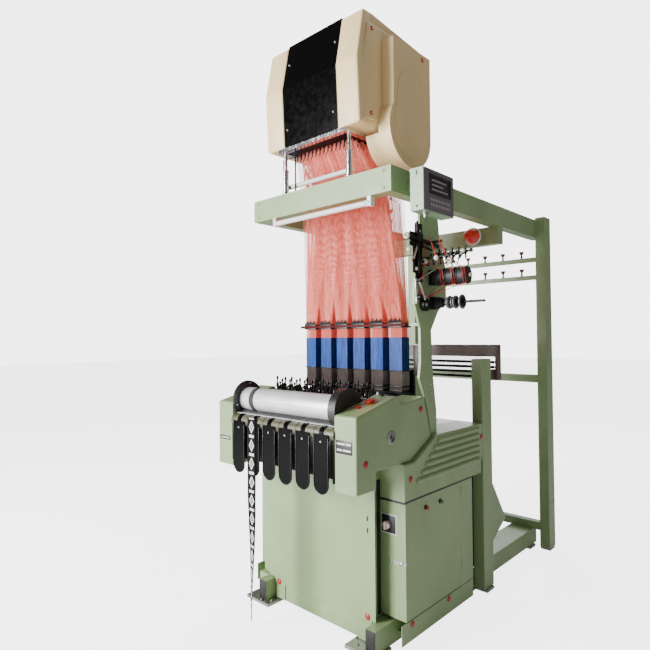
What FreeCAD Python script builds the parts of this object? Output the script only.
import FreeCAD
import Part
import math
import os
import Sketcher

# A computer-controlled needle loom for six narrow fabrics. X runs across the machine,
# Y from the front, where the fabric comes off, to the rear, where the yarn comes in, and Z is up.
# Sizes are millimetres. They are measured from the machine's middle plane, from the face of
# the front panel and from the floor; place() then moves every piece to the middle of the footprint.

VECTOR = FreeCAD.Vector
doc = FreeCAD.newDocument("NeedleLoom")
sheet = doc.addObject("Spreadsheet::Sheet", "Sizes")

DIMENSIONS = {
    # base rails on floor pads
    "pad_thick": 15, "pad_margin": 10, "pad_long": 80,
    "rail_inner": 265, "rail_wide": 145, "rail_high": 97, "rail_wall": 6, "rail_front": 4,
    "rail_long": 1636, "pad_middle": 760, "front_pad_long": 120, "foot_front": 58,
    "foot_wide": 52, "foot_right": 358, "foot_left": 342,
    # cast side frames and the bed between them
    "frame_outer": 341, "frame_thick": 20, "frame_front": 12, "frame_rear": 785, "bed_top": 891,
    "bed_thick": 31, "nose_front": 40, "nose_bottom": 800,
    "cheek_top": 1060, "cheek_rear": 255,
    # sheet-metal cabinet
    "sheet_thick": 3, "panel_lap": 26, "panel_bottom": 22, "panel_top": 716,
    "notch_left": 272, "notch_reach": 5, "notch_high": 116, "notch_slope": 26,
    "box_wide": 136, "box_front": 73, "box_rear": 663, "box_bottom": 125, "box_top": 630,
    "box_wall": 3, "door_rear": 549, "door_lip": 37, "skirt_front": 40, "skirt_bottom": 35,
    "skirt_gap": 4,
    # end housings and ribbed covers
    "housing_wide": 116, "housing_front": 225, "housing_bottom": 722, "housing_leg": 99,
    "housing_notch": 797, "housing_slope_top": 1095, "housing_front_top": 1032,
    "housing_apex": 49, "housing_step": 1054, "housing_step_y": 78, "housing_rear_top": 1077,
    "housing_rear_y": 260, "housing_rear_low": 883, "housing_rear_end": 319,
    "housing_tail": 149, "housing_round": 14, "cover_gap": 1, "cover_round": 5,
    "cover_bottom": 634, "cover_low_rear": 768, "cover_cut_low": 690, "cover_cut_high": 722,
    "rib_radius": 11, "rib_pitch": 31, "rib_top": 866, "rib_rear": 745,
    "cap_radius": 9, "cap_high": 6,
    # main shaft, motor and belt
    "shaft_y": 6, "shaft_z": 921, "shaft_radius": 17, "shaft_end_gap": 2, "running_gap": 0.05,
    "cam_radius": 28, "cam_wide": 16, "cam_pitch": 99, "cam_shift": 20,
    "pulley_x": 280, "pulley_wide": 30, "shaft_pulley_radius": 60, "motor_pulley_radius": 38,
    "motor_y": 300, "motor_z": 330, "motor_radius": 88, "motor_long": 230, "belt_thick": 6,
    "motor_shaft_radius": 12,
    # take-off rollers
    "roller_y": 135, "roller_z": 1045, "roller_radius": 57, "stub_radius": 10, "guard_radius": 90,
    "guard_right_wide": 41, "guard_left_wide": 10, "press_y": 165, "press_z": 978, "press_radius": 16,
    "press_stub_radius": 6, "roll_gap": 0.5,
    # guide bar, chutes and fabric
    "bar_y": 206, "bar_z": 948, "bar_radius": 29, "pitch": 110,
    "chute_wide": 84, "chute_thick": 4, "chute_bottom": 700, "clip_thick": 4, "clip_wide": 22,
    "seat_gap": 0.3, "ribbon_wide": 60, "ribbon_thick": 4, "ribbon_bottom": 26,
    "ribbon_top": 972, "ribbon_shift": 10,
    # needle rail, weft needles and reed
    "needle_y": 88, "needle_rail_wide": 34, "needle_rail_high": 18, "pivot_shift": 40,
    "pivot_radius": 5, "pivot_high": 26, "hub_radius": 9, "hub_high": 14, "arm_long": 60,
    "arm_wide": 7, "arm_thick": 4, "tip_long": 18, "needle_lift": 4,
    "reed_y": 184, "reed_axis_z": 935, "reed_shaft_radius": 9, "reed_bar_z": 1004,
    "reed_bar_high": 16, "reed_bar_deep": 14, "reed_wide": 72, "reed_high": 58,
    "reed_thick": 5, "reed_arm_wide": 14, "reed_half": 296,
    # stanchion and comber board
    "stanchion_x": 446, "stanchion_thick": 12, "comber_y": 298, "comber_z": 1402,
    "comber_half": 357, "comber_deep": 70, "comber_high": 12,
    # harness cords, springs and heddles
    "pack_wide": 56, "pack_pitch": 115, "pack_shift": 8, "pack_front": 270, "pack_deep": 56,
    "spring_top": 1348, "spring_bottom": 1187, "heddle_bottom": 1083, "curtain_half": 290,
    "curtain_front": 205, "curtain_rear": 385, "curtain_step": 2021, "hook_level": 2262,
    "harness_half": 196,
    # overhead gantry
    "beam_half": 461, "beam_front": 16, "beam_bottom": 1981, "beam_top": 2095,
    "beam_deep": 62, "side_beam_wide": 60, "cross_y": 1041, "cross_deep": 60,
    "cross_bottom": 1881, "post_wide": 60, "post_front": 1571, "post_deep": 96,
    "post_top": 2105, "floor_beam_deep": 50, "floor_beam_high": 48, "mid_beam_bottom": 1050,
    "mid_beam_high": 48, "column_inner": 419, "column_outer": 477, 
    "column_rear": 892, "column_top": 1228, "gusset_thick": 8, "gusset_top": 590,
    "gusset_tip": 314, "gusset_reach": 1102, "gusset_low": 228,
    # yarn bars and stop motion
    "yarn_bar_high": 27, "yarn_bar_deep": 30, "yarn_bar_low": 1713, "yarn_bar_up": 1828,
    "stop_y": 985, "stop_deep": 50, "stop_top": 1300, "stop_face": 66, "stop_bottom": 1105,
    "stop_half": 469, "stop_rod_radius": 5, "stop_end_thick": 12, "stop_arm_high": 60,
    "stop_rod_pitch": 28,
    # control box and lamp
    "control_gap": 55, "control_wide": 66, "control_front": 80, "control_deep": 250,
    "control_bottom": 1890, "control_high": 185, "lamp_y": -4, "lamp_z": 1952,
    "lamp_radius": 13, "lamp_half": 318, "lamp_end": 20, "lamp_shift": 20,
    "beacon_x": 339, "beacon_z": 1925, "beacon_radius": 46, "beacon_long": 38,
    # jacquard head
    "head_post_x": 217, "head_post_front": 27, "head_post_rear": 430, "head_post_radius": 9,
    "collar_radius": 15, "collar_high": 118, "head_leg_high": 14, "head_bottom": 2300,
    "base_rail_high": 18, "base_rail_wide": 30, "head_panel_half": 181, "head_front": -10,
    "head_bow": -24,
    "head_bow_z": 2612, "head_top": 2855, "head_top_front": 25, "head_half": 318,
    "head_cover_top": 2812, "head_rear": 490, "head_round": 26, "head_wall": 4,
    "drive_outer": 384, "drive_y": 290, "drive_z": 2330, "drive_radius": 172,
    "drive_front": 150, "drive_top": 2745, "drive_inner": 242,
    "drive_wall": 4, "knife_half": 165, "knife_front": 60, "knife_deep": 330,
    "knife_bar": 16, "knife_low": 2420, "knife_high": 2560, "guide_wide": 20,
    "guide_low": 2330, "guide_high": 2700,
    "tie_tube_z": 2135, "tie_tube_radius": 11,
    # weft feeders
    "feeder_y": 345, "feed_shaft_z": 1508, "feed_shaft_radius": 6, "feed_shaft_end": 722,
    "feed_disc_thick": 8, "drum_z": 1628, "drum_radius": 33,
    "drum_wide": 44, "drum_pitch": 56, "drum_first": 486, "drum_shaft_radius": 5,
    "drum_shaft_end": 660, "boss_radius": 22, "boss_long": 14, "arm_rod_radius": 4,
    "upper_rod_z": 1737, "upper_rod_end": 665, "tension_z": 1790,
    # electrical controls
    "switch_out": 43, "switch_z": 524, "switch_radius": 17, "switch_high": 18,
    "switch_spindle": 5, "button_radius": 8, "button_high": 9, "button_stem": 5,
    "stop_button_y": 233, "start_button_y": 355, "button_z": 580, "latch_z": 371,
    "latch_long": 74, "latch_wide": 12, "latch_thick": 6, "latch_spindle": 5,
    "emergency_out": 59, "emergency_y": -62, "emergency_radius": 17, "emergency_high": 12,
    "emergency_stem": 8, "hinge_gap": 0.6,
}


class Size:
    """A length with its value now and the sheet expression that keeps it."""

    def __init__(self, value, text):
        self.value = value
        self.text = text

    def join(self, other, sign, result):
        return Size(result, f"({self.text} {sign} {size(other).text})")

    def __add__(self, other):
        return self.join(other, "+", self.value + size(other).value)

    def __sub__(self, other):
        return self.join(other, "-", self.value - size(other).value)

    def __mul__(self, other):
        return self.join(other, "*", self.value * size(other).value)

    def __truediv__(self, other):
        return self.join(other, "/", self.value / size(other).value)

    def __radd__(self, other):
        return size(other) + self

    def __rsub__(self, other):
        return size(other) - self

    def __rmul__(self, other):
        return size(other) * self

    def __neg__(self):
        return size(0) - self


def size(amount):
    return amount if isinstance(amount, Size) else Size(float(amount), repr(float(amount)))


class Sheet:
    """The driving dimensions by name."""


S = Sheet()
for line, (word, number) in enumerate(DIMENSIONS.items(), start=1):
    sheet.set(f"A{line}", word)
    sheet.set(f"B{line}", str(number))
    sheet.setAlias(f"B{line}", word)
    setattr(S, word, Size(float(number), f"Sizes.{word}"))
doc.recompute()

# Widths that follow the side frames and the gantry. The footprint: the feed shaft reaches
# furthest right, the rear posts furthest left and rear, and the fabric hanging before the
# chutes furthest front.
post_outer = S.beam_half + S.post_wide
panel_half = S.frame_outer + S.panel_lap
notch_right = S.frame_outer + S.notch_reach
box_outer = S.frame_outer + S.box_wide
housing_outer = S.frame_outer + S.housing_wide
shaft_half = housing_outer - S.shaft_end_gap
switch_x = S.frame_outer + S.switch_out
emergency_x = S.frame_outer + S.emergency_out
guard_right = S.frame_outer - S.guard_right_wide
guard_left = S.frame_outer - S.guard_left_wide
roller_right = guard_right - S.roll_gap
roller_left = guard_left - S.roll_gap
control_inner = S.beam_half + S.control_gap
chute_face = S.bar_y + S.bar_radius + S.seat_gap + S.clip_thick
fabric_face = chute_face + S.seat_gap + S.ribbon_thick
middle_x = (S.feed_shaft_end - post_outer) / 2
middle_y = (S.post_front + S.post_deep - fabric_face) / 2

finished = []


def finish(piece, label):
    """Give a finished sub-part its name and keep it for the files."""
    piece.Label = label
    finished.append(piece)
    return piece


def bind(piece, **amounts):
    for name, amount in amounts.items():
        piece.setExpression(name, size(amount).text)


def place(piece, x, y, z, turn=None):
    """Put a piece at a machine position, moved to the middle of the footprint."""
    if turn is not None:
        piece.Placement = FreeCAD.Placement(VECTOR(0, 0, 0), turn)
    spots = (size(x) - middle_x, size(y) - middle_y, size(z))
    for axis, spot in zip("xyz", spots):
        piece.setExpression(f"Placement.Base.{axis}", spot.text)
    return piece


def block(low, high):
    """A box between two opposite corners."""
    piece = doc.addObject("Part::Box", "Block")
    spans = [size(top) - size(base) for base, top in zip(low, high)]
    bind(piece, Length=spans[0], Width=spans[1], Height=spans[2])
    return place(piece, *low)


TURNS = {
    "x": FreeCAD.Rotation(VECTOR(0, 1, 0), 90),
    "y": FreeCAD.Rotation(VECTOR(1, 0, 0), -90),
    "z": FreeCAD.Rotation(),
}


def rod(radius, start, long, along):
    """A round bar from its start point along one axis."""
    piece = doc.addObject("Part::Cylinder", "Rod")
    bind(piece, Radius=radius, Height=long)
    return place(piece, *start, turn=TURNS[along])


def fuse(*parts):
    piece = doc.addObject("Part::MultiFuse", "Joined")
    piece.Shapes = list(parts)
    piece.Refine = True
    return piece


def cut(base, *tools):
    piece = doc.addObject("Part::Cut", "Cut")
    piece.Base = base
    piece.Tool = tools[0] if len(tools) == 1 else fuse(*tools)
    return piece


def group(*parts):
    """Separate solids kept in one file."""
    piece = doc.addObject("Part::Compound", "Group")
    piece.Links = list(parts)
    return piece


def mirrored(make):
    """The same piece on the right (side 1) and on the left (side -1)."""
    return [make(side) for side in (1, -1)]


def low_x(side, inner, outer):
    """Lowest X of a piece between two distances from the middle plane."""
    return inner if side > 0 else -size(outer)


def side_block(side, inner, outer, low, high):
    """A box on one side of the machine: X by distance from the middle plane, then (y, z)."""
    left = low_x(side, inner, outer)
    return block((left, *low), (left + (size(outer) - inner), *high))


def outline(plane, points, deep, x=0, y=0, z=0):
    """A body padded from a closed outline on one of its own planes.

    On YZ the outline is (y, z) and pads to +X, on XZ it is (x, z) and pads to -Y,
    and on XY it is (x, y) and pads to +Z.
    """
    body = doc.addObject("PartDesign::Body", "Body")
    drawn_on = [part for part in body.Origin.OriginFeatures if part.Role == f"{plane}_Plane"][0]
    sketch = body.newObject("Sketcher::SketchObject", "Outline")
    sketch.AttachmentSupport = [(drawn_on, "")]
    sketch.MapMode = "FlatFace"
    draw(sketch, points)
    pad = body.newObject("PartDesign::Pad", "Pad")
    pad.Profile = sketch
    bind(pad, Length=deep)
    sketch.Visibility = False
    place(body, x, y, z)
    return body


def draw(sketch, points):
    """Close an outline through points, each held by two dimensions from the sketch's origin."""
    spots = [(size(across), size(up)) for across, up in points]
    for here, after in zip(spots, spots[1:] + spots[:1]):
        start = VECTOR(here[0].value, here[1].value, 0)
        end = VECTOR(after[0].value, after[1].value, 0)
        sketch.addGeometry(Part.LineSegment(start, end), False)
    count = len(spots)
    for edge in range(count):
        sketch.addConstraint(Sketcher.Constraint("Coincident", edge, 2, (edge + 1) % count, 1))
    for edge, spot in enumerate(spots):
        for kind, amount in zip(("DistanceX", "DistanceY"), spot):
            number = sketch.addConstraint(Sketcher.Constraint(kind, -1, 1, edge, 1, amount.value))
            sketch.setExpression(f"Constraints[{number}]", amount.text)


def round_edges(body, radius, chosen):
    """Round the edges of a body that the test picks."""
    doc.recompute()
    base = body.Tip
    names = [f"Edge{count}" for count, edge in enumerate(base.Shape.Edges, 1) if chosen(edge)]
    rounding = body.newObject("PartDesign::Fillet", "Rounding")
    rounding.Base = (base, names)
    bind(rounding, Radius=radius)
    return body


def along(edge, direction):
    """Whether an edge is a straight one in a direction."""
    if not isinstance(edge.Curve, (Part.Line, Part.LineSegment)):
        return False
    return abs(edge.tangentAt(edge.FirstParameter).dot(direction)) > 0.999


def on_outer_face(side, deep):
    """A test for the edges of a padded body's face that points away from the machine."""
    face = deep.value if side > 0 else 0.0
    return lambda edge: max(abs(edge.BoundBox.XMin - face), abs(edge.BoundBox.XMax - face)) < 0.01


X_WAY = VECTOR(1, 0, 0)

# ---------------------------------------------------------------- base rails and floor pads

rail_outer = S.rail_inner + S.rail_wide
rail_top = S.pad_thick + S.rail_high
rail_rear = S.rail_front + S.rail_long
column_front = S.frame_rear + S.seat_gap


def base_rail(side):
    """A rectangular tube that carries the machine, with a narrow foot at its closed front end."""
    steel = side_block(
        side, S.rail_inner, rail_outer, (S.rail_front, S.pad_thick), (rail_rear, rail_top)
    )
    inside = side_block(
        side, S.rail_inner + S.rail_wall, rail_outer - S.rail_wall,
        (S.rail_front + S.rail_wall, S.pad_thick + S.rail_wall),
        (rail_rear + 1, rail_top - S.rail_wall),
    )
    foot_low = S.foot_right if side > 0 else -S.foot_left
    foot = block(
        (foot_low, -S.foot_front, S.pad_thick),
        (foot_low + S.foot_wide, S.rail_front + S.rail_wall, rail_top),
    )
    return fuse(cut(steel, inside), foot)


def floor_pad(side, inner, outer, y, long=S.pad_long):
    half = long / 2
    return side_block(
        side, inner - S.pad_margin, outer + S.pad_margin, (y - half, 0), (y + half, S.pad_thick)
    )


front_pad_y = S.front_pad_long / 2 - S.foot_front - S.pad_margin * 2
pad_rows = [S.pad_middle, rail_rear - S.pad_long]
pads = []
for side in (1, -1):
    pads.append(floor_pad(side, S.rail_inner, rail_outer, front_pad_y, S.front_pad_long))
    for row in pad_rows:
        pads.append(floor_pad(side, S.rail_inner, rail_outer, row))
    post_middle = S.post_front + S.post_deep / 2
    column_middle = (column_front + S.column_rear) / 2
    pads.append(floor_pad(side, S.beam_half + S.pad_margin, post_outer - S.pad_margin, post_middle))
    pads.append(floor_pad(side, S.column_inner + 12, S.column_outer, column_middle))
finish(group(*mirrored(base_rail)), "base_rails")
finish(group(*pads), "floor_pads")

# ---------------------------------------------------------------- side frames and bed

frame_inner = S.frame_outer - S.frame_thick


def bore(radius, y, z, reach=900):
    """A round tool right across the machine, for a hole in a side frame or a guard."""
    return rod(radius, (-size(reach), y, z), size(2 * reach), "x")


def side_frame(side):
    """A cast side wall: it stands on the base rail and holds the shafts in its nose."""
    points = [
        (S.frame_front, rail_top), (S.frame_rear, rail_top), (S.frame_rear, S.bed_top),
        (S.housing_rear_end, S.bed_top), (S.cheek_rear, S.cheek_top),
        (-S.nose_front, S.cheek_top), (-S.nose_front, S.nose_bottom),
        (S.frame_front, S.nose_bottom),
    ]
    plate = outline("YZ", points, S.frame_thick, x=low_x(side, frame_inner, S.frame_outer))
    main = bore(S.shaft_radius + S.running_gap, S.shaft_y, S.shaft_z)
    reed = bore(S.reed_shaft_radius + S.running_gap, S.reed_y, S.reed_axis_z)
    return cut(plate, main, reed)


finish(group(*mirrored(side_frame)), "side_frames")

belt_radius = S.shaft_pulley_radius + S.seat_gap + S.belt_thick
bed = block(
    (-frame_inner, S.frame_front, S.bed_top - S.bed_thick),
    (frame_inner, S.frame_rear, S.bed_top),
)
rear_panel = block(
    (-S.frame_outer, S.frame_rear, rail_top),
    (S.frame_outer, S.frame_rear + S.sheet_thick / 2, S.bed_top - S.bed_thick),
)
finish(rear_panel, "rear_panel")
belt_slot = block(
    (-S.pulley_x - S.pulley_wide, S.frame_front - 1, S.bed_top - S.bed_thick - 1),
    (-S.pulley_x + S.pulley_wide, S.shaft_y + belt_radius * 1.6, S.bed_top + 1),
)
finish(cut(bed, belt_slot), "bed_plate")

# ---------------------------------------------------------------- main shaft, motor and belt

pulley_low = -S.pulley_x - S.pulley_wide / 2
shaft = rod(S.shaft_radius, (-shaft_half, S.shaft_y, S.shaft_z), shaft_half * 2, "x")
shaft_pulley = rod(
    S.shaft_pulley_radius, (pulley_low, S.shaft_y, S.shaft_z), S.pulley_wide, "x"
)
cams = []
for station in range(6):
    cam_x = (station - 2.5) * S.cam_pitch + S.cam_shift
    cams.append(rod(S.cam_radius, (cam_x, S.shaft_y, S.shaft_z), S.cam_wide, "x"))
finish(fuse(shaft, shaft_pulley, *cams), "main_shaft")

motor_right = pulley_low + S.pulley_wide + 20
motor_shell = rod(S.motor_radius, (motor_right, S.motor_y, S.motor_z), S.motor_long, "x")
motor_foot = block(
    (motor_right + 20, S.motor_y - S.motor_radius, rail_top + 40),
    (
        motor_right + S.motor_long - 20, S.motor_y + S.motor_radius,
        S.motor_z - S.motor_radius * 0.6,
    ),
)
motor_shelf = block(
    (-frame_inner, S.motor_y - S.motor_radius - 30, rail_top + 24),
    (frame_inner, S.motor_y + S.motor_radius + 30, rail_top + 40),
)
motor_bore = rod(
    S.motor_shaft_radius + S.running_gap, (motor_right - 1, S.motor_y, S.motor_z), size(61), "x"
)
motor = cut(fuse(motor_shell, motor_foot, motor_shelf), motor_bore)

motor_shaft = rod(
    S.motor_shaft_radius, (pulley_low + 1, S.motor_y, S.motor_z), S.pulley_wide + 70, "x"
)
motor_pulley = rod(
    S.motor_pulley_radius, (pulley_low, S.motor_y, S.motor_z), S.pulley_wide, "x"
)
finish(fuse(motor_pulley, motor_shaft), "motor_pulley")


def belt_face(extra):
    """The closed outline of the belt: two arcs round the pulleys and two straight runs."""
    top_y, top_z = (S.shaft_y - middle_y).value, S.shaft_z.value
    low_y, low_z = (S.motor_y - middle_y).value, S.motor_z.value
    top_r = S.shaft_pulley_radius.value + S.seat_gap.value + extra
    low_r = S.motor_pulley_radius.value + S.seat_gap.value + extra
    reach = math.hypot(low_y - top_y, low_z - top_z)
    way = math.atan2(low_z - top_z, low_y - top_y)
    lean = math.acos((top_r - low_r) / reach)
    x = (pulley_low - middle_x).value

    def spot(y, z, radius, angle):
        return VECTOR(x, y + radius * math.cos(angle), z + radius * math.sin(angle))

    first = spot(top_y, top_z, top_r, way + lean)
    second = spot(top_y, top_z, top_r, way - lean)
    third = spot(low_y, low_z, low_r, way - lean)
    fourth = spot(low_y, low_z, low_r, way + lean)
    edges = [
        Part.Arc(first, spot(top_y, top_z, top_r, way + math.pi), second).toShape(),
        Part.LineSegment(second, third).toShape(),
        Part.Arc(third, spot(low_y, low_z, low_r, way), fourth).toShape(),
        Part.LineSegment(fourth, first).toShape(),
    ]
    return Part.Face(Part.Wire(edges))


belt = doc.addObject("Part::Feature", "Belt")
belt_ring = belt_face(S.belt_thick.value).cut(belt_face(0.0))
belt.Shape = belt_ring.extrude(VECTOR(S.pulley_wide.value, 0, 0))
finish(group(motor, belt), "drive_motor")

# ---------------------------------------------------------------- cabinet

panel_points = [
    (-S.notch_left, S.panel_bottom), (notch_right, S.panel_bottom),
    (notch_right, S.notch_high), (panel_half, S.notch_high), (panel_half, S.panel_top),
    (-panel_half, S.panel_top), (-panel_half, S.notch_high + S.notch_slope),
    (-panel_half + S.notch_slope * 3, S.notch_high), (-S.notch_left, S.notch_high - 30),
]
panel = outline("XZ", panel_points, S.sheet_thick, y=S.sheet_thick)
panel_stays = [
    side_block(
        side, frame_inner, S.frame_outer,
        (S.sheet_thick, S.notch_high + 80), (S.frame_front, S.panel_top - 20),
    )
    for side in (1, -1)
]
finish(fuse(panel, *panel_stays), "front_panel")


def side_skirt(side):
    """A low side plate with a foot that screws to the base rail."""
    inner = box_outer - S.sheet_thick
    plate = side_block(
        side, inner, box_outer,
        (S.skirt_front, S.skirt_bottom), (S.box_rear, S.box_bottom - S.skirt_gap),
    )
    foot_low = S.skirt_bottom + 20
    foot = side_block(
        side, rail_outer, inner,
        (S.skirt_front + 60, foot_low), (S.box_rear - 60, foot_low + S.sheet_thick * 2),
    )
    return fuse(plate, foot)


finish(group(*mirrored(side_skirt)), "side_skirts")

# The electric box is open to the right, where its door closes it.
door_plate = box_outer - S.sheet_thick
box_steel = block(
    (S.frame_outer, S.box_front, S.box_bottom),
    (box_outer, S.box_rear, S.box_top),
)
box_room = block(
    (S.frame_outer + S.box_wall, S.box_front + S.box_wall, S.box_bottom + S.box_wall),
    (box_outer + 1, S.door_rear, S.box_top - S.box_wall),
)
box_room_rear = block(
    (S.frame_outer + S.box_wall, S.door_rear - 1, S.box_bottom + S.box_wall),
    (box_outer - S.box_wall, S.box_rear - S.box_wall, S.box_top - S.box_wall),
)
door_seat = block(
    (box_outer - S.sheet_thick - S.hinge_gap, S.box_front - 1, S.box_bottom - 1),
    (box_outer + 1, S.door_rear + S.hinge_gap, S.box_top + 1),
)
lip_seat = block(
    (box_outer - S.door_lip - S.hinge_gap, S.box_front - 1, S.box_bottom - 1),
    (box_outer + 1, S.box_front + S.sheet_thick + S.hinge_gap, S.box_top + 1),
)
lip_stop = block(
    (box_outer - S.door_lip - 30, S.box_front + S.sheet_thick + S.hinge_gap, S.box_bottom),
    (box_outer - S.door_lip + 12, S.box_front + S.sheet_thick * 2 + S.hinge_gap, S.box_top),
)
switch_bore = rod(
    S.switch_spindle + S.running_gap, (switch_x, S.box_front - 1, S.switch_z), size(20), "y"
)
electric_shell = cut(box_steel, box_room, box_room_rear, door_seat, lip_seat)
finish(cut(fuse(electric_shell, lip_stop), switch_bore), "electric_box")

latch_x = box_outer - S.door_lip / 2
door_low = S.box_bottom + S.hinge_gap
door_high = S.box_top - S.hinge_gap
door_side = block((door_plate, S.box_front, door_low), (box_outer, S.door_rear, door_high))
door_edge = block(
    (box_outer - S.door_lip, S.box_front, door_low),
    (box_outer, S.box_front + S.sheet_thick, door_high),
)
latch_bore = rod(
    S.latch_spindle + S.running_gap, (latch_x, S.box_front - 1, S.latch_z), size(10), "y"
)
button_bores = [
    rod(S.button_stem + S.running_gap, (door_plate - 1, y, S.button_z), S.sheet_thick + 2, "x")
    for y in (S.stop_button_y, S.start_button_y)
]
finish(cut(fuse(door_side, door_edge), latch_bore, *button_bores), "electric_door")

latch_face = S.box_front - S.seat_gap
latch_bar = block(
    (latch_x - S.latch_long * 0.7, latch_face - S.latch_thick, S.latch_z - S.latch_wide / 2),
    (latch_x + S.latch_long * 0.3, latch_face, S.latch_z + S.latch_wide / 2),
)
latch_pin = rod(S.latch_spindle, (latch_x, latch_face - 1, S.latch_z), size(9), "y")
finish(fuse(latch_bar, latch_pin), "door_latch")

knob = rod(
    S.switch_radius, (switch_x, S.box_front - S.seat_gap - S.switch_high, S.switch_z),
    S.switch_high, "y",
)
knob_grip = block(
    (switch_x - 5, S.box_front - S.seat_gap - S.switch_high - 9, S.switch_z - S.switch_radius),
    (switch_x + 5, S.box_front - S.seat_gap - S.switch_high + 1, S.switch_z + S.switch_radius),
)
knob_spindle = rod(
    S.switch_spindle, (switch_x, S.box_front - S.seat_gap - 1, S.switch_z), size(18), "y"
)
finish(fuse(knob, knob_grip, knob_spindle), "switch_knob")


def push_button(y, label):
    """A round push button through the door plate."""
    travel_room = 6
    head = rod(S.button_radius, (box_outer + travel_room, y, S.button_z), S.button_high, "x")
    stem = rod(
        S.button_stem, (door_plate - 10, y, S.button_z), S.sheet_thick + travel_room + 11, "x"
    )
    finish(fuse(head, stem), label)


push_button(S.stop_button_y, "stop_button")
push_button(S.start_button_y, "start_button")

# ---------------------------------------------------------------- end housings and ribbed covers

housing_points = [
    (-S.housing_front, S.housing_bottom), (-S.housing_leg, S.housing_bottom),
    (-S.housing_leg, S.housing_notch), (S.housing_tail, S.housing_notch),
    (S.housing_rear_end, S.housing_rear_low), (S.housing_rear_y, S.housing_rear_top),
    (S.housing_step_y, S.housing_step), (S.housing_apex, S.housing_slope_top),
    (-S.housing_front, S.housing_front_top),
]
room_points = [
    (-S.nose_front + 16, S.housing_notch + 18), (S.housing_tail - 6, S.housing_notch + 18),
    (S.housing_rear_end - 50, S.housing_rear_low + 8), (S.housing_rear_y - 24, S.cheek_top - 16),
    (S.housing_step_y, S.housing_step - 16), (-S.nose_front + 16, S.cheek_top - 10),
]
housing_wall = 6


def end_housing(side, label):
    """The cast housing at one end of the bed, open behind the side frame for the drive."""
    body = outline(
        "YZ", housing_points, S.housing_wide, x=low_x(side, S.frame_outer, housing_outer)
    )
    upper = S.housing_front_top.value - 40
    round_edges(
        body, S.housing_round, lambda edge: along(edge, X_WAY) and edge.BoundBox.ZMin > upper
    )
    round_edges(body, S.housing_round / 2, on_outer_face(side, S.housing_wide))
    room = outline(
        "YZ", room_points, S.housing_wide - housing_wall,
        x=low_x(side, S.frame_outer, housing_outer - housing_wall),
    )
    shaft_hole = bore(S.shaft_radius + 1.5, S.shaft_y, S.shaft_z)
    tools = [room, shaft_hole]
    if side > 0:
        lean = emergency_turn()
        tools.append(
            place_turned(S.emergency_stem + S.running_gap, size(90), emergency_root(-60), lean)
        )
    return finish(cut(body, *tools), label)


def slope_angle():
    rise = (S.housing_slope_top - S.housing_front_top).value
    return math.degrees(math.atan2(rise, (S.housing_apex + S.housing_front).value))


def emergency_turn():
    """The sloped top of the housing leans back, and the button stands square to it."""
    return FreeCAD.Rotation(VECTOR(1, 0, 0), slope_angle())


def emergency_root(offset):
    """A point on the button's axis, so far above the sloped top."""
    slope = (S.housing_slope_top - S.housing_front_top) / (S.housing_apex + S.housing_front)
    top_z = S.housing_front_top + (S.emergency_y + S.housing_front) * slope
    tilt = math.radians(slope_angle())
    return (
        emergency_x, S.emergency_y - offset * math.sin(tilt), top_z + offset * math.cos(tilt)
    )


def place_turned(radius, long, root, turn):
    piece = doc.addObject("Part::Cylinder", "Rod")
    bind(piece, Radius=radius, Height=long)
    return place(piece, *root, turn=turn)


end_housing(-1, "end_housing_left")
end_housing(1, "end_housing_right")

emergency_head = place_turned(
    S.emergency_radius, S.emergency_high, emergency_root(8), emergency_turn()
)
emergency_stem = place_turned(S.emergency_stem, size(48), emergency_root(-38), emergency_turn())
finish(fuse(emergency_head, emergency_stem), "emergency_button")

cover_top = S.bed_top
cover_front = S.box_front


def ribbed_cover(side, bottom, label):
    """A folded cover with rounded ribs on its outer side, notched round the end housing."""
    gap = S.cover_gap
    tail = S.housing_tail + gap
    points = [
        (cover_front, bottom), (S.cover_low_rear, bottom),
        (S.cover_low_rear, S.cover_cut_low), (S.frame_rear, S.cover_cut_high),
        (S.frame_rear, cover_top), (S.housing_rear_end + gap, cover_top),
        (S.housing_rear_end + gap, S.housing_rear_low - gap), (tail, S.housing_notch - gap),
        (cover_front, S.housing_notch - gap),
    ]
    deep = box_outer - S.frame_outer
    body = outline("YZ", points, deep, x=low_x(side, S.frame_outer, box_outer))
    round_edges(body, S.cover_round, on_outer_face(side, deep))
    wall = S.cover_round + 1
    room = side_block(
        side, S.frame_outer, box_outer - wall, (cover_front + wall, bottom + wall),
        (S.cover_low_rear - wall, S.housing_notch - gap - wall),
    )
    ribs = []
    for rib in range(6):
        height = S.rib_top - rib * S.rib_pitch
        front = S.housing_rear_end + 20 - rib * 35
        ribs.append(rod(
            S.rib_radius, (side * (box_outer - S.rib_radius * 0.25), front, height),
            S.rib_rear - front, "y",
        ))
    return finish(fuse(cut(body, room), *ribs), label)


ribbed_cover(-1, S.box_bottom, "ribbed_cover_left")
ribbed_cover(1, S.cover_bottom, "ribbed_cover_right")

side_cap_spots = [
    (housing_outer, size(-168), size(839)), (box_outer, size(116), size(728)),
    (housing_outer, size(232), size(1020)), (box_outer, S.frame_rear - 16, size(823)),
    (box_outer, size(118), size(104)), (box_outer, size(424), size(104)),
]
caps = []
for outer, y, z in side_cap_spots:
    caps.append(rod(S.cap_radius, (outer, y, z), S.cap_high, "x"))
    caps.append(rod(S.cap_radius, (-outer - S.cap_high, y, z), S.cap_high, "x"))
for x, z in ((size(-254), size(103)), (size(323), size(126))):
    caps.append(rod(S.cap_radius, (x, -S.cap_high, z), S.cap_high, "y"))
finish(group(*caps), "red_caps")

# ---------------------------------------------------------------- take-off rollers

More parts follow.
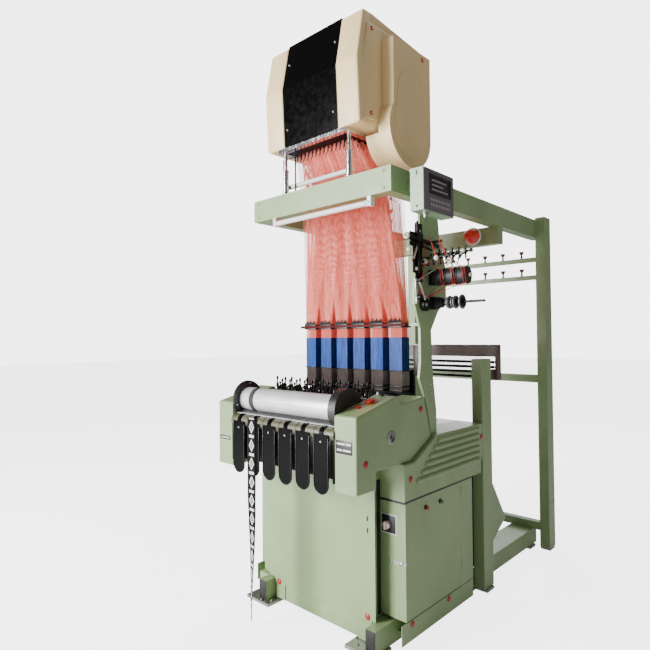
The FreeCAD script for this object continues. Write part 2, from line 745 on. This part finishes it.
roller_long = roller_left + roller_right
roller = rod(S.roller_radius, (-roller_left, -S.roller_y, S.roller_z), roller_long, "x")
roller_stub = rod(
    S.stub_radius, (-S.frame_outer + 2, -S.roller_y, S.roller_z), S.frame_outer * 2 - 4, "x"
)
finish(fuse(roller, roller_stub), "takeoff_roller")

press_low = -guard_left + S.roll_gap
press = rod(
    S.press_radius, (press_low, -S.press_y, S.press_z),
    guard_right + guard_left - S.roll_gap * 2, "x",
)
press_stub = rod(
    S.press_stub_radius, (-S.frame_outer + 2, -S.press_y, S.press_z), S.frame_outer * 2 - 4, "x"
)
finish(fuse(press, press_stub), "press_roller")

guards = []
for low, high in ((-S.frame_outer, -guard_left), (guard_right, S.frame_outer)):
    disc = rod(S.guard_radius, (low, -S.roller_y, S.roller_z), high - low, "x")
    guards.append(cut(
        disc,
        bore(S.stub_radius + S.running_gap, -S.roller_y, S.roller_z),
        bore(S.press_stub_radius + S.running_gap, -S.press_y, S.press_z),
    ))
finish(group(*guards), "roller_guards")

# ---------------------------------------------------------------- guide bar, chutes and fabric

finish(
    rod(S.bar_radius, (-S.frame_outer, -S.bar_y, S.bar_z), S.frame_outer * 2, "x"), "guide_bar"
)


def station_x(station):
    return (station - 2.5) * S.pitch


def chute(station):
    """A moulded tongue that leads one fabric down, clamped round the guide bar."""
    x = station_x(station)
    half = S.chute_wide / 2
    front = -chute_face
    tongue = block(
        (x - half, front, S.chute_bottom + half), (x + half, front + S.chute_thick, S.bar_z)
    )
    end = rod(half, (x, front, S.chute_bottom + half), S.chute_thick, "y")
    ring = rod(
        S.bar_radius + S.seat_gap + S.clip_thick, (x - S.clip_wide / 2, -S.bar_y, S.bar_z),
        S.clip_wide, "x",
    )
    hole = rod(
        S.bar_radius + S.seat_gap, (x - S.chute_wide, -S.bar_y, S.bar_z), S.chute_wide * 2, "x"
    )
    return cut(fuse(tongue, end, ring), hole)


finish(group(*[chute(station) for station in range(6)]), "chutes")

ribbon_x = station_x(1) - S.ribbon_shift
ribbon = block(
    (ribbon_x - S.ribbon_wide / 2, -fabric_face, S.ribbon_bottom),
    (ribbon_x + S.ribbon_wide / 2, -chute_face - S.seat_gap, S.ribbon_top),
)
finish(ribbon, "ribbon")

# ---------------------------------------------------------------- weft needles and reed

rail_base = S.cheek_top
needle_top = rail_base + S.needle_rail_high
needle_rail = block(
    (-S.frame_outer, S.needle_y - S.needle_rail_wide / 2, rail_base),
    (S.frame_outer, S.needle_y + S.needle_rail_wide / 2, needle_top),
)


def pivot_x(station):
    return station_x(station) - S.pivot_shift


pins = [
    rod(S.pivot_radius, (pivot_x(station), S.needle_y, needle_top - 1), S.pivot_high, "z")
    for station in range(6)
]
finish(fuse(needle_rail, *pins), "needle_rail")


def weft_needle(station):
    """A crescent arm that carries one weft across its warp."""
    x = pivot_x(station)
    base = needle_top + S.needle_lift
    hub = rod(S.hub_radius, (x, S.needle_y, base), S.hub_high, "z")
    arm = block(
        (x - S.arm_long, S.needle_y - S.arm_wide / 2, base + 5),
        (x, S.needle_y + S.arm_wide / 2, base + 5 + S.arm_thick),
    )
    tip = block(
        (x - S.arm_long, S.needle_y - S.arm_wide / 2, base + 5),
        (x - S.arm_long + S.arm_thick, S.needle_y + S.tip_long, base + 5 + S.arm_thick),
    )
    hole = rod(S.pivot_radius + S.running_gap, (x, S.needle_y, base - 1), S.hub_high + 2, "z")
    finish(cut(fuse(hub, arm, tip), hole), f"weft_needle_{station + 1}")


for station in range(6):
    weft_needle(station)

reed_front = S.reed_y - S.reed_bar_deep / 2
reed_rear = S.reed_y + S.reed_bar_deep / 2
reed_bar = block(
    (-S.reed_half, reed_front, S.reed_bar_z),
    (S.reed_half, reed_rear, S.reed_bar_z + S.reed_bar_high),
)
reed_arms = [
    block(
        (x - S.reed_arm_wide / 2, reed_front, S.reed_axis_z),
        (x + S.reed_arm_wide / 2, reed_rear, S.reed_bar_z + 1),
    )
    for x in (-S.reed_half + 30, size(0), S.reed_half - 30)
]
reed_shaft = rod(
    S.reed_shaft_radius, (-S.frame_outer + 2, S.reed_y, S.reed_axis_z), S.frame_outer * 2 - 4, "x"
)
reed_base = S.reed_bar_z + S.reed_bar_high
reeds = [
    block(
        (station_x(station) - S.reed_wide / 2, S.reed_y - S.reed_thick / 2, reed_base - 1),
        (station_x(station) + S.reed_wide / 2, S.reed_y + S.reed_thick / 2, reed_base + S.reed_high),
    )
    for station in range(6)
]
finish(fuse(reed_bar, reed_shaft, *reed_arms, *reeds), "reed_sley")

# ---------------------------------------------------------------- columns, gantry and rear frame


def inner_column(side):
    """A box column behind the bed, with a gusset plate welded to its rear face."""
    post = side_block(
        side, S.column_inner, S.column_outer,
        (column_front, S.pad_thick), (S.column_rear, S.column_top),
    )
    points = [
        (S.column_rear - 1, S.gusset_low), (S.column_rear + 60, S.gusset_low),
        (S.gusset_reach, S.gusset_tip), (S.column_rear + 20, S.gusset_top),
        (S.column_rear - 1, S.gusset_top),
    ]
    inner = S.column_inner + 24
    plate_x = low_x(side, inner, inner + S.gusset_thick)
    return fuse(post, outline("YZ", points, S.gusset_thick, x=plate_x))


finish(group(*mirrored(inner_column)), "inner_columns")

post_rear = S.post_front + S.post_deep
posts = [
    side_block(
        side, S.beam_half, post_outer, (S.post_front, S.pad_thick), (post_rear, S.post_top)
    )
    for side in (1, -1)
]
floor_beam_y = rail_rear - S.floor_beam_deep - 5
floor_beam = block(
    (-S.beam_half, floor_beam_y, rail_top),
    (S.beam_half, floor_beam_y + S.floor_beam_deep, rail_top + S.floor_beam_high),
)
mid_beam = block(
    (-S.beam_half, S.post_front + 20, S.mid_beam_bottom),
    (S.beam_half, S.post_front + 20 + S.floor_beam_deep, S.mid_beam_bottom + S.mid_beam_high),
)
finish(group(*posts, floor_beam, mid_beam), "rear_frame")

beam_rear = S.beam_front + S.beam_deep
finish(
    block((-S.beam_half, S.beam_front, S.beam_bottom), (S.beam_half, beam_rear, S.beam_top)),
    "gantry_front_beam",
)
side_beams = [
    side_block(
        side, S.beam_half - S.side_beam_wide, S.beam_half,
        (beam_rear, S.beam_bottom), (post_rear, S.beam_top),
    )
    for side in (1, -1)
]
cross_beam = block(
    (-S.beam_half, S.cross_y, S.cross_bottom),
    (S.beam_half, S.cross_y + S.cross_deep, S.beam_bottom),
)
finish(group(*side_beams, cross_beam), "gantry_side_beams")

# ---------------------------------------------------------------- stanchion and feeders

stanchion_low = S.stanchion_x - S.stanchion_thick / 2
stanchion_points = [
    (S.housing_rear_end + 4, S.bed_top + 0.3), (S.housing_rear_end + 54, S.bed_top + 0.3),
    (size(374), size(1000)),
    (size(345), size(1180)), (size(336), size(1380)), (size(400), size(1470)),
    (size(478), size(1530)), (size(470), size(1700)), (size(420), size(1830)),
    (size(400), S.beam_bottom), (size(255), S.beam_bottom), (size(240), size(1750)),
    (size(200), size(1600)), (size(200), size(1500)), (size(244), size(1390)),
    (size(246), size(1240)), (size(232), size(1160)), (size(268), size(1085)),
    (size(300), size(1000)),
]
stanchion_body = outline("YZ", stanchion_points, S.stanchion_thick, x=stanchion_low)
stanchion_foot = block(
    (frame_inner + 5, S.housing_rear_end + 4, S.bed_top),
    (stanchion_low + S.stanchion_thick, S.housing_rear_end + 54, S.bed_top + S.stanchion_thick),
)
bolt_holes = [
    rod(size(4), (stanchion_low - 1, size(330), size(height)), S.stanchion_thick + 2, "x")
    for height in (1040, 1085, 1130, 1215, 1260)
]
comber_rear = S.comber_y + S.comber_deep / 2
comber_front = S.comber_y - S.comber_deep / 2
comber_seat = block(
    (S.comber_half, S.comber_y - 16, S.comber_z),
    (stanchion_low + 1, S.comber_y + 16, S.comber_z + S.comber_high),
)
feeder_bosses = [
    rod(S.boss_radius, (stanchion_low + S.stanchion_thick - 1, S.feeder_y, z), S.boss_long + 1, "x")
    for z in (S.feed_shaft_z, S.drum_z)
]
upper_rod = rod(
    S.arm_rod_radius, (stanchion_low, S.feeder_y, S.upper_rod_z),
    S.upper_rod_end - stanchion_low, "x",
)
tension_rod = rod(
    S.arm_rod_radius, (stanchion_low, S.feeder_y - 40, S.tension_z), size(96), "x"
)
feeder_bores = [
    rod(radius + S.running_gap, (stanchion_low - 1, S.feeder_y, z), S.boss_long * 4, "x")
    for radius, z in (
        (S.feed_shaft_radius, S.feed_shaft_z), (S.drum_shaft_radius, S.drum_z)
    )
]
finish(
    cut(
        fuse(stanchion_body, stanchion_foot, comber_seat, *feeder_bosses, upper_rod, tension_rod),
        *bolt_holes, *feeder_bores,
    ),
    "stanchion",
)

feed_start = stanchion_low - 18
feed_parts = [
    rod(
        S.feed_shaft_radius, (feed_start, S.feeder_y, S.feed_shaft_z),
        S.feed_shaft_end - feed_start, "x",
    )
]
for x, radius in ((520, 13), (545, 19), (556, 13), (576, 19), (608, 24)):
    feed_parts.append(
        rod(size(radius), (size(x), S.feeder_y, S.feed_shaft_z), S.feed_disc_thick, "x")
    )
finish(fuse(*feed_parts), "feed_shaft")

drum_parts = [
    rod(S.drum_shaft_radius, (feed_start, S.feeder_y, S.drum_z), S.drum_shaft_end - feed_start, "x")
]
for drum in range(3):
    drum_parts.append(rod(
        S.drum_radius, (S.drum_first + drum * S.drum_pitch, S.feeder_y, S.drum_z), S.drum_wide, "x"
    ))
finish(fuse(*drum_parts), "feeder_drums")

# ---------------------------------------------------------------- comber board and harness

finish(
    block(
        (-S.comber_half, comber_front, S.comber_z),
        (S.comber_half, comber_rear, S.comber_z + S.comber_high),
    ),
    "comber_board",
)


def pack_x(station):
    return (station - 2.5) * S.pack_pitch + S.pack_shift


def packs(low, high):
    """One closed block for each of the six harness groups."""
    half = S.pack_wide / 2
    return [
        block(
            (pack_x(station) - half, S.pack_front, low),
            (pack_x(station) + half, S.pack_front + S.pack_deep, high),
        )
        for station in range(6)
    ]


def tapered(low_half, low_span, low_z, high_half, high_span, high_z):
    """A block whose width and depth change from its lower to its upper face."""
    piece = doc.addObject("Part::Wedge", "Taper")
    bind(
        piece,
        Xmin=-low_half, Xmax=low_half, Zmin=low_span[0], Zmax=low_span[1],
        X2min=-high_half, X2max=high_half, Z2min=high_span[0], Z2max=high_span[1],
        Ymin=0, Ymax=high_z - low_z,
    )
    turn = FreeCAD.Rotation(VECTOR(1, 0, 0), 90)
    return place(piece, 0, 0, low_z, turn=turn)


pack_half = S.pack_pitch * 2.5 + S.pack_wide / 2 - S.pack_shift
neck = packs(S.spring_top, S.comber_z - S.seat_gap)
depth_low = (-S.pack_front - S.pack_deep, -S.pack_front)
depth_high = (-S.curtain_rear, -S.curtain_front)
curtain = tapered(
    pack_half, depth_low, S.comber_z + S.comber_high + S.seat_gap,
    S.curtain_half, depth_high, S.curtain_step,
)
upper = tapered(
    S.curtain_half, depth_high, S.curtain_step,
    S.harness_half, depth_high, S.hook_level,
)
finish(group(*neck, fuse(curtain, upper)), "harness_cords")
finish(group(*packs(S.spring_bottom, S.spring_top)), "spring_packs")
finish(group(*packs(S.heddle_bottom, S.spring_bottom)), "heddle_packs")

# ---------------------------------------------------------------- jacquard head


def head_post(x, y):
    pin = rod(S.head_post_radius, (x, y, S.beam_top), S.head_bottom - S.beam_top, "z")
    collar = rod(S.collar_radius, (x, y, S.beam_top), S.collar_high, "z")
    return fuse(pin, collar)


base_top = S.head_bottom + S.base_rail_high
stand = []
for side in (1, -1):
    x = side * S.head_post_x
    stand.append(head_post(x, S.head_post_front))
    inner = S.head_post_x - S.base_rail_wide / 2
    outer = S.head_post_x + S.base_rail_wide / 2
    stand.append(side_block(
        side, inner, outer, (S.head_front, S.head_bottom), (S.head_rear, base_top)
    ))
    stand.append(side_block(
        side, inner, S.beam_half, (S.head_post_rear - 15, S.beam_top),
        (S.head_post_rear + 15, S.beam_top + S.head_leg_high),
    ))
    stand.append(rod(
        S.head_post_radius, (x, S.head_post_rear, S.beam_top + S.head_leg_high),
        S.head_bottom - S.beam_top - S.head_leg_high, "z",
    ))
for y in (S.head_front, S.head_rear - S.base_rail_wide):
    stand.append(block(
        (-S.head_post_x + S.base_rail_wide / 2, y, S.head_bottom),
        (S.head_post_x - S.base_rail_wide / 2, y + S.base_rail_wide, base_top),
    ))
tie_tube_y = S.head_post_front + S.collar_radius + S.tie_tube_radius
stand.append(rod(
    S.tie_tube_radius, (-S.head_post_x - 4, tie_tube_y, S.tie_tube_z), S.head_post_x * 2 + 8, "x"
))
finish(group(*stand), "head_stand")

front_curve = [
    (S.head_front, base_top), (S.head_bow, S.head_bow_z), (S.head_top_front, S.head_top),
]
case_points = front_curve + [
    (S.head_top_front + 70, S.head_top), (S.head_rear, S.head_cover_top), (S.head_rear, base_top),
]
case_inner = S.head_panel_half
case_body = outline("YZ", case_points, case_inner * 2, x=-case_inner)
case_room_points = [
    (S.head_front - 30, base_top - 1), (S.head_front - 30, S.head_bow_z),
    (S.head_top_front, S.head_top - S.head_wall), (S.head_top_front + 70, S.head_top - S.head_wall),
    (S.head_rear - S.head_wall, S.head_cover_top - S.head_wall),
    (S.head_rear - S.head_wall, base_top - 1),
]
case_room = outline(
    "YZ", case_room_points, case_inner * 2 - S.head_wall * 2, x=-case_inner + S.head_wall
)
front_panel_points = [
    (S.head_front, base_top), (S.head_bow, S.head_bow_z), (S.head_top_front, S.head_top),
    (S.head_top_front + S.head_wall, S.head_top), (S.head_bow + S.head_wall, S.head_bow_z),
    (S.head_front + S.head_wall, base_top),
]
panel_tool = outline("YZ", front_panel_points, case_inner * 2 + 20, x=-case_inner - 10)
knife_guides = [
    side_block(
        side, S.knife_half + S.seat_gap, case_inner - 1,
        (guide_y, S.guide_low), (guide_y + S.guide_wide, S.guide_high),
    )
    for side in (1, -1)
    for guide_y in (S.knife_front + S.guide_wide, S.knife_front + S.knife_deep - S.guide_wide * 2)
]
finish(fuse(cut(case_body, case_room, panel_tool), *knife_guides), "head_case")
finish(outline("YZ", front_panel_points, case_inner * 2, x=-case_inner), "head_front_panel")


def head_cover(side, label):
    """A moulded side cover with rounded corners, open towards the case."""
    points = [
        (S.head_front + 1, base_top), (S.head_bow + 13, S.head_bow_z),
        (S.head_top_front + 14, S.head_cover_top), (S.head_rear, S.head_cover_top),
        (S.head_rear, base_top),
    ]
    deep = S.head_half - S.head_panel_half
    body = outline("YZ", points, deep, x=low_x(side, S.head_panel_half, S.head_half))
    round_edges(body, S.head_round, on_outer_face(side, deep))
    wall = S.head_wall * 2
    room = side_block(
        side, S.head_panel_half, S.head_half - wall, (S.head_top_front + 24, base_top + wall),
        (S.head_rear - wall, S.head_cover_top - wall * 2),
    )
    return finish(cut(body, room), label)


head_cover(-1, "head_cover_left")
head_cover(1, "head_cover_right")

drive_rear = S.drive_y + S.drive_radius
drive_barrel = rod(
    S.drive_radius, (S.head_half, S.drive_y, S.drive_z), S.drive_outer - S.head_half, "x"
)
drive_upper = block(
    (S.head_half, S.drive_front, S.drive_z), (S.drive_outer, drive_rear, S.drive_top)
)
drive_lower = rod(
    S.drive_radius, (S.drive_inner, S.drive_y, S.drive_z), S.drive_outer - S.drive_inner, "x"
)
lower_trim = block(
    (S.drive_inner - 1, S.drive_y - S.drive_radius - 1, S.head_bottom - S.seat_gap),
    (S.head_half, drive_rear + 1, S.drive_z + S.drive_radius + 1),
)
drive_solid = fuse(drive_barrel, drive_upper, cut(drive_lower, lower_trim))
drive_room_barrel = rod(
    S.drive_radius - S.drive_wall, (S.head_half - 1, S.drive_y, S.drive_z),
    S.drive_outer - S.head_half + 1 - S.drive_wall, "x",
)
drive_room_upper = block(
    (S.head_half - 1, S.drive_front + S.drive_wall, S.drive_z),
    (S.drive_outer - S.drive_wall, drive_rear - S.drive_wall, S.drive_top - S.drive_wall),
)
finish(cut(drive_solid, drive_room_barrel, drive_room_upper), "head_drive_cover")


def knife_frame(z, inset, label):
    """A frame of lifting knives inside the head: two side bars and the knives between them."""
    half = S.knife_half
    rear = S.knife_front + S.knife_deep
    bars = [
        side_block(side, half - S.knife_bar, half, (S.knife_front, z), (rear, z + S.knife_bar))
        for side in (1, -1)
    ]
    knives = []
    for knife in range(6):
        y = S.knife_front + inset + knife * 58
        knives.append(block(
            (-half + S.knife_bar - 1, y, z), (half - S.knife_bar + 1, y + 4, z + S.knife_bar * 2)
        ))
    finish(fuse(*bars, *knives), label)


knife_frame(S.knife_low, 4, "knife_frame_lower")
knife_frame(S.knife_high, 30, "knife_frame_upper")

# ---------------------------------------------------------------- yarn bars and stop motion

yarn_bars = [
    block(
        (-S.beam_half, S.post_front, z),
        (S.beam_half, S.post_front + S.yarn_bar_deep, z + S.yarn_bar_high),
    )
    for z in (S.yarn_bar_low, S.yarn_bar_up)
]
finish(group(*yarn_bars), "yarn_bars")

stop_rear = S.stop_y + S.stop_deep
stop_face = block(
    (-S.stop_half, S.stop_y, S.stop_top - S.stop_face), (S.stop_half, stop_rear, S.stop_top)
)
stop_rods = [
    rod(
        S.stop_rod_radius,
        (-S.stop_half, S.stop_y + S.stop_deep / 2, S.stop_bottom + S.stop_rod_pitch * (step + 0.5)),
        S.stop_half * 2, "x",
    )
    for step in range(4)
]
stop_ends = []
for side in (1, -1):
    arm = S.column_inner + 20
    arm_top = S.stop_bottom + S.stop_arm_high
    stop_ends.append(side_block(
        side, S.stop_half - S.stop_end_thick, S.stop_half,
        (S.stop_y, S.stop_bottom), (stop_rear, S.stop_top),
    ))
    stop_ends.append(side_block(
        side, arm, arm + S.stop_end_thick,
        (S.column_rear, S.stop_bottom), (S.stop_y + 1, arm_top),
    ))
    stop_ends.append(side_block(
        side, arm, S.stop_half - 1,
        (S.stop_y, S.stop_bottom), (S.stop_y + S.stop_end_thick, arm_top),
    ))
finish(fuse(stop_face, *stop_rods, *stop_ends), "stop_motion")

# ---------------------------------------------------------------- control box, lamp, beacon

control_shell = block(
    (control_inner, S.control_front, S.control_bottom),
    (
        control_inner + S.control_wide, S.control_front + S.control_deep,
        S.control_bottom + S.control_high,
    ),
)
control_arm = block(
    (S.beam_half, S.control_front + 60, S.beam_bottom + 20),
    (control_inner + 1, S.control_front + 120, S.beam_bottom + 60),
)
finish(fuse(control_shell, control_arm), "control_box")

lamp_tube = rod(
    S.lamp_radius, (-S.lamp_half + S.lamp_shift, S.beam_front + S.lamp_y + S.lamp_radius, S.lamp_z),
    S.lamp_half * 2, "x",
)
lamp_ends = []
for side in (1, -1):
    end_x = side * S.lamp_half + S.lamp_shift
    lamp_ends.append(block(
        (end_x - S.lamp_end / 2, S.beam_front, S.lamp_z - 15),
        (end_x + S.lamp_end / 2, S.beam_front + 30, S.beam_bottom),
    ))
finish(fuse(lamp_tube, *lamp_ends), "lamp")

beacon_stem = rod(
    size(14), (S.beacon_x, S.cross_y - S.beacon_long, S.beacon_z), S.beacon_long, "y"
)
beacon_dome = doc.addObject("Part::Sphere", "Dome")
bind(beacon_dome, Radius=S.beacon_radius)
place(beacon_dome, S.beacon_x, S.cross_y - S.beacon_long - S.beacon_radius * 0.8, S.beacon_z)
finish(fuse(beacon_stem, beacon_dome), "warning_lamp")

# ---------------------------------------------------------------- check and write

doc.recompute()
for item in doc.Objects:
    if "Invalid" in item.State or "Error" in item.State:
        raise RuntimeError(f"{item.Label} failed: {item.State}")
labels = [piece.Label for piece in finished]
if len(set(labels)) != len(labels):
    raise RuntimeError("two sub-parts share a name")
for piece in finished:
    if piece.Shape.isNull() or not piece.Shape.isValid():
        raise RuntimeError(f"{piece.Label} has no valid shape")

os.makedirs("parts", exist_ok=True)
whole = FreeCAD.BoundBox()
for piece in finished:
    whole.add(piece.Shape.BoundBox)
    piece.Shape.exportStep(f"parts/{piece.Label}.step")
print(len(finished), "sub-parts")
sides = (whole.XMin, whole.XMax, whole.YMin, whole.YMax, whole.ZMin, whole.ZMax)
print("box", [round(side, 2) for side in sides])
print("origin moved by", round(middle_x.value, 2), round(middle_y.value, 2))
